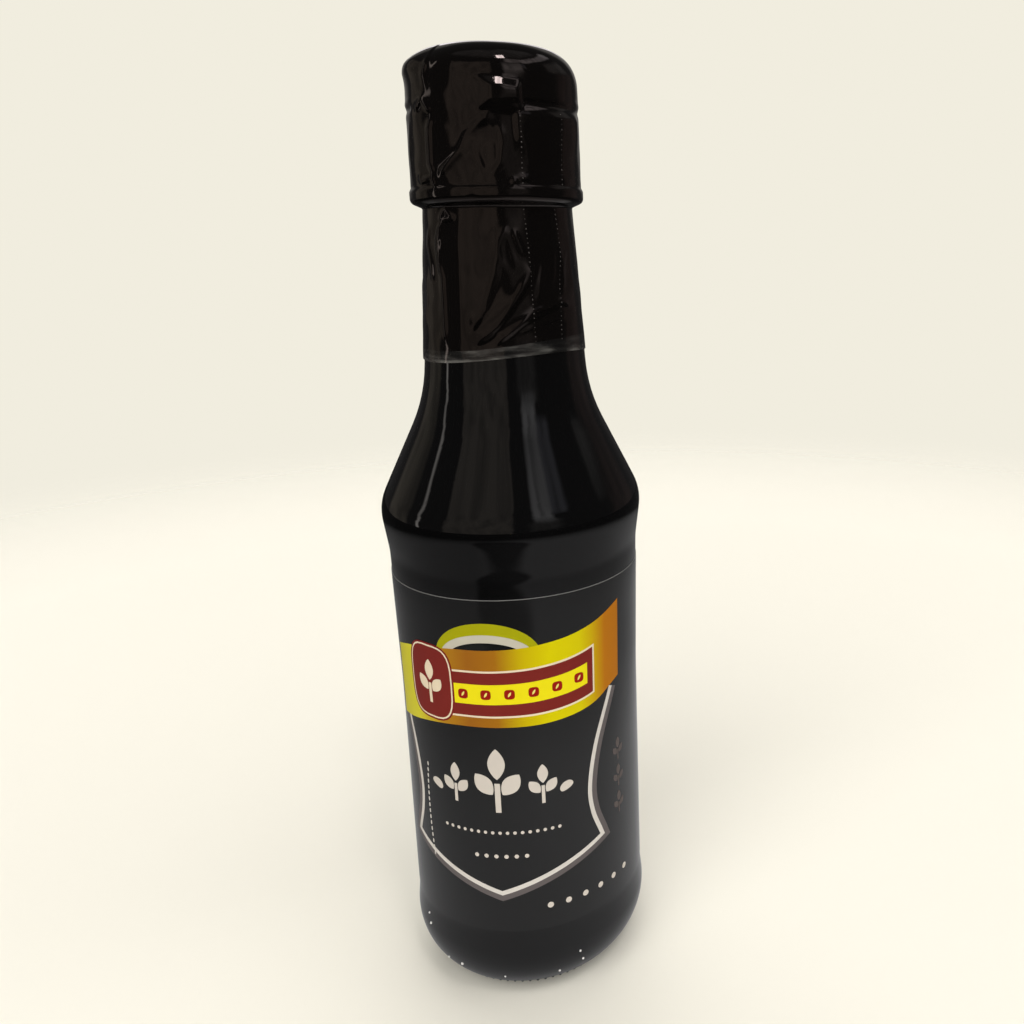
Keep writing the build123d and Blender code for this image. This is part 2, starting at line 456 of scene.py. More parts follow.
def wrap_patch(name, shapes, height, material, slot="label", thickness=0.02):
    """Flat shapes, in mm along the label and up it, as thin closed print on its face.

    A shape is a list of loops: its outline, then its holes."""
    flat = bmesh.new()
    for loops in shapes:
        loops = [[Vector((x, z, 0)) for x, z in loop] for loop in loops]
        corners = [p for loop in loops for p in loop]
        verts = [flat.verts.new(p) for p in corners]
        for tri in tessellate_polygon(loops):
            a, b, c = (corners[k] for k in tri)
            if (b - a).cross(c - a).z < 0:
                tri = tri[::-1]
            if abs((b - a).cross(c - a).z) > 1e-9:
                try:
                    flat.faces.new([verts[k] for k in tri])
                except ValueError:
                    pass
    spots = np.array([v.co for v in flat.verts])
    for across, step in ((0, 0.62), (1, 3.0)):
        low, high = spots[:, across].min(), spots[:, across].max()
        normal = [0, 0, 0]
        normal[across] = 1
        for at in np.arange(math.ceil(low / step), math.floor(high / step) + 1) * step:
            where = [0, 0, 0]
            where[across] = at
            geometry = flat.verts[:] + flat.edges[:] + flat.faces[:]
            bmesh.ops.bisect_plane(flat, geom=geometry, plane_co=where, plane_no=normal, dist=1e-5)
    bmesh.ops.remove_doubles(flat, verts=flat.verts[:], dist=1e-4)
    bmesh.ops.triangulate(flat, faces=[f for f in flat.faces if len(f.verts) > 4])
    flat.verts.index_update()
    spots = np.array([v.co for v in flat.verts])
    turn = np.radians(LABEL_CENTRE + spots[:, 0] / MM_PER_DEGREE)
    z = label_z + spots[:, 1]
    layers = []
    for level in (height, height - thickness):
        r = label_radius(z) + level
        layers.append(np.stack([r * np.sin(turn), -r * np.cos(turn), z], -1))
    points = np.vstack(layers)
    count = len(spots)
    faces = []
    for face in flat.faces:
        ids = [v.index for v in face.verts]
        faces.append(ids)
        faces.append([k + count for k in ids[::-1]])
    for edge in flat.edges:
        if len(edge.link_faces) == 1:
            a, b = (v.index for v in edge.verts)
            ids = [v.index for v in edge.link_faces[0].verts]
            if ids[(ids.index(a) + 1) % len(ids)] != b:
                a, b = b, a
            faces.append([b, a, a + count, b + count])
    flat.free()
    return new_piece(name, points, faces, material, slot)


def to_print(points):
    """Points given by angle round the axis turned into mm along the label from its centre."""
    return [((angle - LABEL_CENTRE) * MM_PER_DEGREE, z) for angle, z in points]


def offset_line(points, distance):
    """An open line moved sideways by a distance, its corners mitred."""
    p = np.asarray(points, float)
    ways = np.diff(p, axis=0)
    ways /= np.linalg.norm(ways, axis=1)[:, None]
    sides = np.stack([-ways[:, 1], ways[:, 0]], -1)
    before = np.vstack([sides[:1], sides])
    after = np.vstack([sides, sides[-1:]])
    middle = before + after
    middle /= (middle * middle).sum(1)[:, None] / 2
    return p + middle * distance


def band(points, low, high):
    """The strip between two offsets of a line."""
    return [[*map(tuple, offset_line(points, low)), *map(tuple, offset_line(points, high)[::-1])]]


def ellipse(x, z, a, b, tilt=0.0, count=40, start=0.0, end=360.0):
    turns = np.radians(np.linspace(start, end, count, endpoint=end - start < 359))
    c, s = math.cos(math.radians(tilt)), math.sin(math.radians(tilt))
    px, pz = a * np.cos(turns), b * np.sin(turns)
    return [(x + c * i - s * j, z + s * i + c * j) for i, j in zip(px, pz)]


def leaf(x, z, length, width, tilt):
    """A pointed leaf outline."""
    side = [(length * (t - 0.5), width / 2 * math.sin(math.pi * t) ** 0.8) for t in np.linspace(0, 1, 14)]
    outline = side + [(a, -b) for a, b in side[-2:0:-1]]
    c, s = math.cos(math.radians(tilt)), math.sin(math.radians(tilt))
    return [(x + c * a - s * b, z + s * a + c * b) for a, b in outline]


def bean(x, z, length, width, tilt):
    """A kidney-shaped bean outline."""
    outline = []
    for turn in np.radians(np.arange(0, 360, 12)):
        a = length / 2 * math.cos(turn)
        b = width / 2 * math.sin(turn)
        b += width * 0.16 * (1 - (2 * a / length) ** 2) * (1 if b < 0 else 0.15)
        outline.append((a, b))
    c, s = math.cos(math.radians(tilt)), math.sin(math.radians(tilt))
    return [(x + c * a - s * b, z + s * a + c * b) for a, b in outline]


ribbon_top = smooth_line(to_print([(-74, 54.0), (-59, 55.9), (-34.2, 57.8), (-14.4, 58.14), (-1.7, 58.38),
                                   (7.7, 58.69), (21.8, 59.42), (35.3, 60.76), (50, 63.05)]), 60)
ribbon_low = smooth_line(to_print([(50, 47.41), (42.9, 46.27), (34.4, 44.61), (24.1, 43.65), (8.4, 43.08),
                                   (-11.1, 43.01), (-30.2, 42.89), (-46.8, 42.05), (-60, 40.9),
                                   (-74, 39.6)]), 60)


def ribbon_height(x, share):
    """Height on the ribbon at x, from its lower edge (0) to its upper edge (1)."""
    low = np.interp(x, ribbon_low[::-1, 0], ribbon_low[::-1, 1])
    high = np.interp(x, ribbon_top[:, 0], ribbon_top[:, 1])
    return low + (high - low) * share


def on_ribbon(left, right, low, high, count=30):
    """The outline of a field on the ribbon, bent as the ribbon is."""
    x = np.linspace(left, right, count)
    return [*zip(x, ribbon_height(x, low)), *zip(x[::-1], ribbon_height(x[::-1], high))]


shield_side = smooth_line([(23.6, 46.3), (19.43, 36.4), (17.63, 27.9), (18.1, 22.0), (20.17, 16.25)], 26)
shield_line = np.vstack([shield_side * (-1, 1), [[0, 8.89]], shield_side[::-1]])
wrap_patch("print_shield_shadow", [band(shield_line, -2.0, -0.8)], 0.012, shield_grey)
wrap_patch("print_shield_line", [band(shield_line, -0.85, 0.05)], 0.024, shield_white)

ARC_X, ARC_Z = -0.5, 56.0
arcs = (("print_arc_green", 10.0, 7.3, 0.012, arc_green), ("print_arc_pale", 8.9, 5.1, 0.022, arc_white),
        ("print_arc_dark", 7.3, 3.6, 0.030, label_black))
for name, a, b, height, ink in arcs:
    wrap_patch(name, [[ellipse(ARC_X, ARC_Z, a, b, 0, 48, 0, 180)]], height, ink)

ribbon = [*map(tuple, ribbon_low[::-1]), *map(tuple, ribbon_top[::-1])]
wrap_patch("print_ribbon", [[ribbon]], 0.040, ribbon_ink)

PANEL_LEFT, PANEL_RIGHT = -13.0, 19.7
wrap_patch("print_panel_border", [[on_ribbon(PANEL_LEFT, PANEL_RIGHT, 0.125, 0.735)]], 0.050, cream_ink)
wrap_patch("print_panel", [[on_ribbon(PANEL_LEFT, PANEL_RIGHT - 0.35, 0.15, 0.71)]], 0.060, panel_red)

# Seeds on the panel, in one row


def seed(x, z, width, height, tilt):
    """A squarish rounded seed outline."""
    c, s = math.cos(math.radians(tilt)), math.sin(math.radians(tilt))
    outline = []
    for turn in np.radians(np.arange(0, 360, 12)):
        a = width / 2 * math.copysign(abs(math.cos(turn)) ** 0.6, math.cos(turn))
        b = height / 2 * math.copysign(abs(math.sin(turn)) ** 0.6, math.sin(turn))
        outline.append((x + c * a - s * b, z + s * a + c * b))
    return outline


# A plain band along the panel with one even row of equal seeds
BAND_LEFT = PANEL_LEFT + 6.0
BAND_RIGHT = PANEL_RIGHT - 1.6
BAND_MIDDLE = 0.43            # of the ribbon's height
SEED_SPOTS = np.linspace(BAND_LEFT + 1.8, BAND_RIGHT - 1.8, 6)

wrap_patch("print_seed_field", [[on_ribbon(BAND_LEFT, BAND_RIGHT, 0.30, 0.56)]], 0.070, motif_yellow)
seeds = [[seed(x, ribbon_height(x, BAND_MIDDLE), 1.9, 1.9, 0)] for x in SEED_SPOTS]
wrap_patch("print_seeds", seeds, 0.085, bean_red)
eyes = [[leaf(x, ribbon_height(x, BAND_MIDDLE), 1.1, 0.40, 60)] for x in SEED_SPOTS]
wrap_patch("print_seed_eyes", eyes, 0.100, motif_pale)

# A plain rounded badge over the ribbon's left part
badge_x = to_print([(-45.0, 0)])[0][0]
BADGE_MIDDLE = 50.4
badge = seed(badge_x, BADGE_MIDDLE, 11.2, 15.2, 0)


def shrunk(outline, by):
    """The outline pulled in by about the given distance."""
    p = np.array(outline)
    closed = np.vstack([p[-1:], p, p[:1]])
    ways = closed[2:] - closed[:-2]
    ways /= np.linalg.norm(ways, axis=1)[:, None]
    inward = np.stack([-ways[:, 1], ways[:, 0]], -1)
    return [tuple(q) for q in p + inward * by]


wrap_patch("print_badge_edge", [[badge]], 0.070, badge_edge)
wrap_patch("print_badge_line", [[shrunk(badge, 0.35)]], 0.080, cream_ink)
wrap_patch("print_badge", [[shrunk(badge, 0.65)]], 0.090, panel_red)
# Cream motifs on the shield, in rows


def sprig_on_stem(x, z, height, lean):
    """A stem with a leaf at its tip and one to each side, which don't touch each other."""
    way = math.radians(90 + lean)
    up = np.array([math.cos(way), math.sin(way)])
    side = np.array([up[1], -up[0]])
    foot = np.array([x, z]) - up * height / 2
    width = height * 0.04
    stem_top = foot + up * height * 0.46
    stem = [foot - side * width, foot + side * width, stem_top + side * width, stem_top - side * width]
    shapes = [[[tuple(p) for p in stem]]]
    leaves = ((0.76, 0, 0.48, 0), (0.44, 0.195, 0.40, -38), (0.44, -0.195, 0.40, 38))
    for along, across, length, turn in leaves:
        middle = foot + up * height * along + side * height * across
        shapes.append([leaf(*middle, height * length, height * 0.25, 90 + lean + turn)])
    return shapes


badge_sprig = sprig_on_stem(badge_x, BADGE_MIDDLE, 8.6, 0)
wrap_patch("print_badge_sprig", badge_sprig, 0.100, cream_ink)


def even_dots(left, right, height, count, size):
    """A row of equal dots."""
    return [[ellipse(x, height, size, size, 0, 12)] for x in np.linspace(left, right, count)]


marks = sprig_on_stem(0.2, 32.2, 13.0, 0)
for side in (-1, 1):
    marks += sprig_on_stem(0.2 + side * 8.4, 31.0, 8.0, 0)
    marks.append([bean(0.2 + side * 12.9, 29.4, 2.8, 2.0, side * 25)])
marks += even_dots(-11.0, 11.4, 21.4, 17, 0.34)
marks += even_dots(-4.6, 5.0, 16.4, 6, 0.42)
marks += even_dots(9.0, 27.0, 5.0, 6, 0.62)
wrap_patch("print_marks", marks, 0.024, motif_cream)

# Faint sprigs at the right of the shield, and a column of fine white dashes inside its left side: a painted
# reflection, standing in for a broken highlight streak on the label
faint = [shape for z in (32.0, 26.2, 20.4) for shape in sprig_on_stem(25.8, z, 4.8, 0)]
wrap_patch("print_faint_sprigs", faint, 0.024, faint_grey)
# These dashes are a painted reflection, not print.
painted_streak_dashes = []
for k in range(16):
    painted_streak_dashes.append([ellipse(-15.9 + 0.010 * (k - 8) ** 2, 13.2 + k * 1.28, 0.20, 0.46, 0, 10)])
wrap_patch("painted_reflection_dashes", painted_streak_dashes, 0.024, shield_white)

# The back of the wrap: its overlap and a plain block of quiet lines
BACK = 180 - LABEL_CENTRE
back_x = BACK * MM_PER_DEGREE
overlap = [[(back_x - 8.2, 0.05), (back_x - 7.9, 0.05), (back_x - 7.9, label_top - label_z - 0.3),
            (back_x - 8.2, label_top - label_z - 0.3)]]
quiet = []
for k in range(14):
    low = 12.0 + k * 3.1
    reach = 11.0 - 2.6 * ((k * 5) % 3)
    quiet.append([[(back_x + 2, low), (back_x + 2 + reach, low), (back_x + 2 + reach, low + 0.8),
                   (back_x + 2, low + 0.8)]])
wrap_patch("print_back_lines", quiet, 0.024, faint_grey)
# The overlap's pale line is a painted highlight of its cut edge.
wrap_patch("label_overlap", [overlap], 0.024, edge_highlight_paint)


# ---------------------------------------------------------------- cap

nodes["cap_base"].data.materials.clear()
nodes["cap_base"].data.materials.append(cap_black)
nodes["cap_lid"].data.materials.clear()
nodes["cap_lid"].data.materials.append(cap_black)


# ---------------------------------------------------------------- shrink film

FILM_T = 0.12
LID_EDGE_ROUND = 5.7
LID_DRAFT = 0.15
MM_ROUND_CAP = 0.262          # mm along the cap for one degree
TAB_ANGLE = 6.5
TAB_HALF_ANGLE = 8.2
TAB_STANDS = 0.88
FOOT_HEIGHT = -26.95          # of the sleeve's lower edge, from the cap's rim
BUNCH_PUSH = 0.65             # of the bunched film at the lid's left edge
parting = lid_z - rim_z - 0.45


def film_foot(turn):
    """Height of the sleeve's lower edge, which runs uphill towards +X."""
    a = np.radians(turn)
    return rim_z + FOOT_HEIGHT + 0.35 * np.sin(a) + 0.42 * np.sin(2 * a) + 0.28 * np.cos(2 * a)


def smooth_step(value, low, high):
    t = np.clip((value - low) / (high - low), 0, 1)
    return t * t * (3 - 2 * t)


def beside(turn, z, line):
    """Distance in mm to a line of (degrees, height) points, how far along it, and the side."""
    best = np.full(np.broadcast_shapes(turn.shape, z.shape), 1e9)
    along = np.zeros_like(best)
    side = np.zeros_like(best)
    for k, ((t0, z0), (t1, z1)) in enumerate(zip(line, line[1:])):
        gap = (turn - t0 + 180) % 360 - 180
        px = gap * MM_ROUND_CAP
        pz = z - z0
        dx = (t1 - t0) * MM_ROUND_CAP
        dz = z1 - z0
        share = np.clip((px * dx + pz * dz) / (dx * dx + dz * dz), 0, 1)
        away = np.hypot(px - share * dx, pz - share * dz)
        nearer = away < best
        best = np.where(nearer, away, best)
        along = np.where(nearer, (k + share) / (len(line) - 1), along)
        side = np.where(nearer, np.sign(px * dz - pz * dx), side)
    return best, along, side


def ridge(turn, z, line, height, width, fade=0.25):
    """A soft raised crease along a line, fading at both ends."""
    away, along, _ = beside(turn, z, line)
    ends = smooth_step(along, 0, fade) * smooth_step(1 - along, 0, fade) if fade else 1
    return height * np.exp(-(away / width) ** 2) * ends


def fold(turn, z, line, height, steep, slow, fade=0.25):
    """A crease that drops steeply on its right side and slowly on its left."""
    away, along, side = beside(turn, z, line)
    width = np.where(side > 0, steep, slow)
    ends = smooth_step(along, 0, fade) * smooth_step(1 - along, 0, fade) if fade else 1
    return height * np.exp(-(away / width) ** 1.5) * ends


def dome(turn, z, centre, reach, height, power=2.0):
    """A rounded bulge, or a dish where the height is negative."""
    px = ((turn - centre[0] + 180) % 360 - 180) / reach[0]
    pz = (z - centre[1]) / reach[1]
    return height * np.exp(-(px * px + pz * pz) ** (power / 2))


def tab_tent(turn, h):
    """The film stretched over the thumb tab, in facets that run out to the cap."""
    across = (turn - TAB_ANGLE + 180) % 360 - 180
    left = np.maximum(-across - TAB_HALF_ANGLE, 0) * MM_ROUND_CAP / 3.0
    right = np.maximum(across - TAB_HALF_ANGLE, 0) * MM_ROUND_CAP / 1.3
    above = np.maximum(h - parting - 2.3 + 0.03 * across, 0) / 1.9
    below = np.maximum(parting + 0.4 - h, 0) / 2.6
    away = (left**3 + right**3 + above**3 + below**3) ** (1 / 3)
    return TAB_STANDS * np.clip(1 - away, 0, 1)


def flat_facet(turn, centre, half, radius):
    """The lift that turns the film's round face flat for some degrees each side of an angle."""
    across = np.abs((turn - centre + 180) % 360 - 180)
    rise = radius * (1 / np.cos(np.radians(np.minimum(across, half))) - 1)
    return rise * np.exp(-(np.maximum(across - half, 0) / 3.5) ** 2)


# Soft creases: a route of (degrees, mm above the cap's rim), height, width and fade at the ends
SOFT_CREASES = [
    ([(-44, 23.4), (-45, 22.2), (-48, 19.9), (-45, 16.6)], 0.14, 0.7, 0.25),
    ([(-41, 13.7), (-45, 11.7), (-46, 5.9), (-41, 3.4)], 0.30, 0.65, 0.25),
    ([(-60, 4.7), (-56, 3.3), (-45, 3.7), (-41, 1.3)], 0.22, 0.5, 0.25),
    ([(3, 12.7), (5, 9.1), (3, 6.0), (-5, 3.4)], 0.20, 0.6, 0.25),
    ([(-12, 10.2), (-13, 7.2), (-7, 4.3)], 0.12, 0.8, 0.25),
    ([(14, 12.2), (20, 7.7), (22, 4.2)], 0.14, 0.8, 0.25),
    ([(30, 13.0), (36, 8.0), (35, 3.0)], 0.08, 0.9, 0.3),
    ([(-70, 14.0), (-74, 8.0), (-70, 3.0)], 0.10, 0.8, 0.3),
    ([(-28, 24.5), (-24, 20.0), (-27, 16.5)], 0.07, 0.9, 0.3),
    ([(16, 23.5), (22, 20.5), (34, 18.6)], 0.08, 0.8, 0.3),
    ([(-47, -2.7), (-42, -1.3), (-35, -2.9), (-45, -3.3)], 0.20, 0.45, 0.0),
    ([(-46, -3.3), (-51, -6.7), (-49, -10.3), (-45, -12.8), (-44, -18.3), (-43, -24.8)], 0.20, 0.55, 0.1),
    ([(-22, -22.9), (-11, -17.9), (-3, -12.9), (1, -8.0)], 0.07, 0.45, 0.2),
    ([(-14, -23.8), (0, -19.6), (10, -15.8), (19, -12.0)], 0.09, 0.45, 0.2),
    ([(-2, -23.3), (14, -20.6), (30, -18.9), (46, -17.7)], 0.16, 0.42, 0.15),
    ([(4, -22.9), (20, -21.4), (38, -20.3), (52, -20.0)], 0.07, 0.40, 0.2),
    ([(24, -17.7), (28, -13.3), (32, -9.8)], 0.18, 0.6, 0.25),
    ([(33, -17.0), (39, -12.5), (41, -8.0)], 0.10, 0.5, 0.25),
    ([(9, -4.7), (13, -7.3), (17, -9.8)], 0.18, 0.6, 0.25),
    ([(-4, -3.9), (-2, -8.5), (4, -12.5)], 0.10, 0.55, 0.25),
    ([(3, -3.5), (7, -8.0), (12, -12.5)], 0.09, 0.5, 0.25),
    ([(-62, -3.3), (-64, -7.3), (-58, -10.8), (-56, -14.8)], 0.20, 0.6, 0.25),
    ([(-68, -12.0), (-66, -17.0), (-70, -22.0)], 0.12, 0.7, 0.25),
    ([(48, -6.3), (50, -11.8), (47, -16.8)], 0.12, 0.6, 0.25),
    ([(62, -5.0), (60, -11.0), (63, -17.0)], 0.10, 0.7, 0.25),
    ([(57, -8.0), (48, -11.8), (50, -15.1)], 0.10, 0.45, 0.2),
]
# Folds: a route, height, width on the steep side and on the slow side, fade
FOLDS = [
    ([(0, 14.1), (-9, 12.4), (-18, 10.3), (-22, 8.1), (-31, 6.0), (-41, 3.6)], 0.30, 0.45, 1.3, 0.12),
    ([(-58, 14.1), (-50, 16.1), (-40, 13.5)], 0.34, 0.30, 0.9, 0.25),
    ([(-24, -22.9), (-12, -16.9), (-5, -12.1), (-1, -7.5), (4, -4.0)], 0.30, 0.7, 1.5, 0.15),
    ([(-22, -24.7), (-4, -21.1), (8, -17.1), (18, -13.6), (24, -10.3)], 0.30, 0.55, 1.2, 0.15),
    ([(-8, -24.8), (5, -22.0), (12, -20.6), (20, -19.0), (31, -18.2), (43, -17.3), (56, -18.2)],
     0.30, 0.40, 0.75, 0.12),
]
# Bulges and, with a negative height, dents: centre, reach each way, height
BULGES = [
    ((-3, 6.5), (4.5, 1.9), -0.22), ((19, 3.5), (4, 0.5), 0.25), ((11, 2.8), (2.2, 0.5), 0.30),
    ((-20, 19.0), (9, 3.0), -0.05), ((30, 21.0), (8, 2.5), 0.06), ((38, 9.0), (6, 3.5), -0.06),
    ((-30, 11.5), (5, 1.6), -0.06), ((8, 9.5), (3.5, 2.2), 0.07), ((-28, -8.0), (4, 3.0), -0.05),
    ((10, -15.0), (3, 1.6), -0.06), ((34, -6.0), (5, 2.4), -0.06), ((-16, 1.3), (3, 0.5), 0.08),
    ((52, 3.0), (5, 0.8), 0.10), ((-3, -22.6), (4, 0.7), 0.08), ((27, -23.6), (5, 0.6), 0.10),
]
# Round the back: softer pulls of the same kind, as (degrees, low, high, lean)
BACK_PULLS = [
    (104, -24.3, -10.3, 5), (120, -22.3, -2.3, -7), (140, -25.3, -9.3, 6), (168, -19.3, -2.3, -8),
    (198, -24.3, -5.3, 7), (232, -21.3, -3.3, -9), (262, -25.3, -11.3, 6), (92, 2.7, 13.7, 6),
    (150, 3.7, 19.7, -5), (205, 2.7, 12.7, 6), (245, 4.7, 21.7, -6),
]


def film_lift(turn, z):
    """How far the film stands off what it wraps, in mm, by angle and height."""
    a = np.radians(turn)
    h = z - rim_z
    facing = (turn + 180) % 360 - 180
    on_cap = smooth_step(h, -0.5, 0.5)
    on_neck = 1 - on_cap
    lift = 0.02 + 0.035 * np.sin(3 * a + h / 2.7) ** 2 + 0.025 * np.sin(5 * a - h / 1.9 + 1) ** 2
    lift = lift + 0.012 * np.sin(17 * a + h / 1.1) * np.sin(h / 2.3 + 4 * a)

    # Over the parting line the film dips on the right and bridges on the left
    bridged = smooth_step(facing, -75, -60) * smooth_step(-facing, -14, -2)
    gap = np.exp(-((h - parting) / 0.42) ** 2)
    lift += -0.55 * gap * (1 - bridged) + 0.22 * np.exp(-((h - parting) / 3.2) ** 2) * bridged
    lift += 0.08 * np.exp(-((h - parting - 1.2) / 0.35) ** 2) * (1 - bridged)
    ledge = smooth_step(facing, 10, 16) * smooth_step(-facing, -78, -66)
    drop = np.clip((parting - 0.35 - h) / 1.45, 0, 1)
    lift += 0.50 * ledge * drop * smooth_step(h, 5.0, parting - 2.0)
    lift = np.maximum(lift, tab_tent(turn, h) + lift * 0.3)

    for route, height, steep, slow, fade in FOLDS:
        lift += fold(turn, h, route, height, steep, slow, fade)
    for route, height, width, fade in SOFT_CREASES:
        lift += ridge(turn, h, route, height, width, fade)
    for centre, reach, height in BULGES:
        lift += dome(turn, h, centre, reach, height)
    for angle, low, high, lean in BACK_PULLS:
        route = [(angle, low), (angle + lean * 0.4, (low + high) / 2), (angle + lean, high)]
        lift += ridge(turn, h, route, 0.24 if high < 0 else 0.14, 0.8)

    # Neck: it clings under the cap, lies flat beside the left crease and stands off above the margin
    lift += on_neck * 0.05 * smooth_step(-h, 5, 11)
    lift += on_neck * 0.06 * np.exp(-((h + 21.9) / 4.0) ** 2) * smooth_step(-facing, 20, 50)
    oval = smooth_step(-h, 2.2, 5.0) * smooth_step(h, -25, -20)
    lift += flat_facet(turn, -38.5, 8.0, 13.5) * oval
    return np.maximum(lift, 0.02 - 0.6 * gap * (1 - bridged))


lid_top_r = lid_r - LID_DRAFT
foot_z = rim_z + FOOT_HEIGHT - 0.7
tuck_z = rim_z - 0.9
film_corners = [
    (glass_radius(foot_z), foot_z, 0), (glass_radius(tuck_z), tuck_z, 0.4), (rim_r + 0.08, rim_z, 0.95),
    (rim_r + 0.08, rim_z + 1.95, 0.5), (skirt_r, rim_z + 2.3, 0.3), (lid_r + 0.01, lid_z, 30.0),
    (lid_top_r, lid_top, LID_EDGE_ROUND), (lid_top_r - LID_EDGE_ROUND - 1.5, lid_top, 0),
]
film_outline = evenly(rounded_line(film_corners, 6), 0.34)
film_slopes = np.gradient(film_outline, axis=0)
film_slopes /= np.linalg.norm(film_slopes, axis=1)[:, None]
# Columns lie closer together in front, where the creases are
film_turns = np.concatenate([np.arange(-78, 78, 1.0), np.linspace(78, 282, 108, endpoint=False)])
FILM_COLUMNS = len(film_turns)


def film_points(turn, row_r, row_z, slope_r, slope_z, extra):
    """Points on the film's face, by angle and by place on its outline."""
    shift = (film_foot(turn) - foot_z) * (1 - smooth_step(row_z, foot_z, foot_z + 9.0))
    z = row_z + shift
    base_r = np.where(row_z < rim_z - 1.3, glass_radius(z), row_r)
    flatter = 0.15 + 0.85 * slope_z**2
    lift = film_lift(turn, z) * flatter

    # The top left corner is fuller where the film is bunched, and ends at a nick
    facing = (turn + 180) % 360 - 180
    left = smooth_step(facing, -118, -88)
    steepness = np.degrees(np.arcsin(np.clip(slope_z, 0, 1)))
    push = BUNCH_PUSH * np.exp(-(((steepness - 60) / 18) ** 2)) * left * smooth_step(-facing, 45, 66)
    push = push * smooth_step(row_z, lid_top - 5.8, lid_top - 4)
    nick = left * smooth_step(-facing, 43.5, 46.0) * smooth_step(row_z, lid_top - 6.5, lid_top - 4)
    lift = lift + 0.15 * nick * smooth_step(slope_z, 0.2, 0.7) + extra
    r = base_r + slope_z * lift + push
    z = np.minimum(z - slope_r * lift, film_top - (FILM_T - extra))
    a = np.radians(turn)
    return np.stack([r * np.sin(a), -r * np.cos(a), z + 0 * r], -1)


def make_film():
    """The crinkled sleeve: a closed thin shell over the neck and the cap."""
    rows = len(film_outline)
    grid = [film_outline[:, 0], film_outline[:, 1], film_slopes[:, 0], film_slopes[:, 1]]
    grid = [column[:, None] for column in grid]
    shells = [film_points(film_turns[None, :], *grid, extra).reshape(-1, 3) for extra in (FILM_T, 0.0)]
    points = np.vstack(shells)
    count = rows * FILM_COLUMNS
    faces = grid_faces(rows, FILM_COLUMNS).tolist() + grid_faces(rows, FILM_COLUMNS, count, True).tolist()
    top = (rows - 1) * FILM_COLUMNS
    for k in range(FILM_COLUMNS):
        after = (k + 1) % FILM_COLUMNS
        faces.append([after, k, k + count, after + count])
        faces.append([top + k, top + after, top + after + count, top + k + count])
    return new_piece("film_sleeve", points, faces, film_black, "film", ["shrink_film"], 60)


make_film()


# ---------------------------------------------------------------- dots along lines and on points

def make_dot_tree():
    """Small rounded dots along each line of a mesh, or on its points, uneven in size."""
    tree = bpy.data.node_groups.new("rounded_dots", "GeometryNodeTree")
    face = tree.interface
    face.new_socket("Lines", in_out="INPUT", socket_type="NodeSocketGeometry")
    for name, value in (("Spacing", 0.0008), ("Dot Radius", 0.00013), ("Unevenness", 0.2)):
        face.new_socket(name, in_out="INPUT", socket_type="NodeSocketFloat").default_value = value
    face.new_socket("On Points", in_out="INPUT", socket_type="NodeSocketBool")
    face.new_socket("Seed", in_out="INPUT", socket_type="NodeSocketInt").default_value = 1
    face.new_socket("Finish", in_out="INPUT", socket_type="NodeSocketMaterial")
    face.new_socket("Dots", in_out="OUTPUT", socket_type="NodeSocketGeometry")
    entry = tree.nodes.new("NodeGroupInput").outputs
    leave = tree.nodes.new("NodeGroupOutput")
    curve = add(tree, "GeometryNodeMeshToCurve", {"Mesh": entry["Lines"]})
    spaced = add(tree, "GeometryNodeCurveToPoints",
                 {"Curve": curve.outputs[0], "Length": entry["Spacing"]}, mode="LENGTH")
    corners = add(tree, "GeometryNodeMeshToPoints", {"Mesh": entry["Lines"]})
    chosen = add(tree, "GeometryNodeSwitch", {"Switch": entry["On Points"], "False": spaced.outputs["Points"],
                                              "True": corners.outputs[0]}, input_type="GEOMETRY")
    ball = add(tree, "GeometryNodeMeshUVSphere", {"Segments": 8, "Rings": 5, "Radius": entry["Dot Radius"]})
    smallest = maths(tree, "SUBTRACT", 1.0, entry["Unevenness"])
    largest = maths(tree, "ADD", 1.0, entry["Unevenness"])
    size = add(tree, "FunctionNodeRandomValue", {"Seed": entry["Seed"]}, data_type="FLOAT")
    tree.links.new(smallest, size.inputs[2])
    tree.links.new(largest, size.inputs[3])
    dots = add(tree, "GeometryNodeInstanceOnPoints",
               {"Points": chosen.outputs[0], "Instance": ball.outputs[0], "Scale": size.outputs[1]})
    real = add(tree, "GeometryNodeRealizeInstances", {"Geometry": dots.outputs[0]})
    smooth = add(tree, "GeometryNodeSetShadeSmooth", {"Geometry": real.outputs[0]})
    coated = add(tree, "GeometryNodeSetMaterial",
                 {"Geometry": smooth.outputs[0], "Material": entry["Finish"]})
    tree.links.new(coated.outputs[0], leave.inputs["Dots"])
    return tree


dot_tree = make_dot_tree()


def make_dots(name, lines, slot, **inputs):
    """A piece of dots; each line is a list of points in mm, and a single point stands alone."""
    points = [np.asarray(p, float) * MM for line in lines for p in line]
    edges = []
    start = 0
    for line in lines:
        edges += [(start + k, start + k + 1) for k in range(len(line) - 1)]
        start += len(line)
    mesh = bpy.data.meshes.new(name)
    mesh.from_pydata(points, edges, [])
    piece = bpy.data.objects.new(name, mesh)
    scene.collection.objects.link(piece)
    grown = piece.modifiers.new("dots", "NODES")
    grown.node_group = dot_tree
    sockets = {item.name: item.identifier for item in dot_tree.interface.items_tree if item.in_out == "INPUT"}
    for key, value in inputs.items():
        grown[sockets[key.replace("_", " ")]] = value
    bpy.context.view_layer.update()
    finished = bpy.data.meshes.new_from_object(piece.evaluated_get(bpy.context.evaluated_depsgraph_get()))
    piece.modifiers.remove(grown)
    piece.data = finished
    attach(piece, "root")
    return piece


def on_film(turn, h):
    """The point on the film's face at an angle and a height above the cap's rim."""
    z = rim_z + h
    row = np.argmin(np.abs(film_outline[:, 1] - z) + 9 * (np.abs(film_slopes[:, 1]) < 0.3))
    r, slope_r, slope_z = film_outline[row, 0], film_slopes[row, 0], film_slopes[row, 1]
    return film_points(np.array(float(turn)), r, z, slope_r, slope_z, FILM_T - 0.03)


